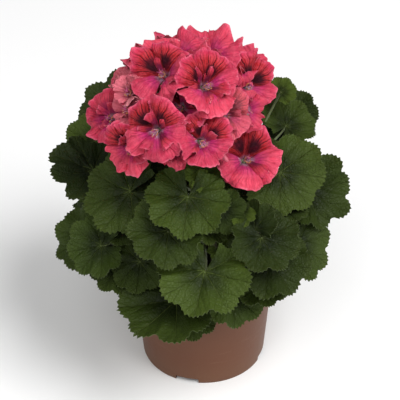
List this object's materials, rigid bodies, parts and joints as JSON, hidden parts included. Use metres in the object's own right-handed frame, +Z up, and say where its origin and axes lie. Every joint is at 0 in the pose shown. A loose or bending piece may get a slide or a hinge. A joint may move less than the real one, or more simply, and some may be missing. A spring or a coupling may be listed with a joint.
{
  "type": "potted flowering plant",
  "caption": "Bushy regal pelargonium with ruffled two-coloured blooms over lobed, toothed leaves, standing in a plain tapered plastic nursery pot of soil.",
  "frame": {"origin": "centre of the pot's underside, on the surface that it stands on", "axes": "+Z up through the plant; -Y toward the plant's front, the side that the picture shows"},
  "size_m": [0.2662, 0.2663, 0.3525],
  "materials": {
    "pot_plastic": "matte terracotta brown",
    "potting_soil": "dark, loose and rough potting soil",
    "foliage": "soft, faintly hairy green leaves and stems",
    "petals": "thin, silky coral pink and scarlet petals"
  },
  "bodies": {
    "root": {"pot": "pot_plastic", "soil": "potting_soil", "shoot_1": "foliage", "shoot_2": "foliage", "shoot_3": "foliage", "shoot_4": "foliage", "shoot_5": "foliage", "shoot_6": "foliage", "shoot_7": "foliage", "shoot_8": "foliage", "shoot_9": "foliage", "shoot_10": "foliage", "shoot_11": "foliage", "bloom_1": "petals", "bloom_2": "petals", "bloom_3": "petals", "bloom_4": "petals", "bloom_5": "petals", "bloom_6": "petals", "bloom_7": "petals", "bloom_8": "petals", "bloom_9": "petals", "bloom_10": "petals", "bloom_11": "petals", "bloom_12": "petals", "bloom_13": "petals", "bloom_14": "petals", "bloom_15": "petals", "bloom_16": "petals", "bloom_17": "petals", "bloom_18": "petals", "bloom_19": "petals", "bloom_20": "petals", "bloom_21": "petals", "bloom_22": "petals", "bloom_23": "petals", "bloom_24": "petals", "bloom_25": "petals", "bloom_26": "petals", "bloom_27": "petals", "bloom_28": "petals"}
  },
  "joints": []
}
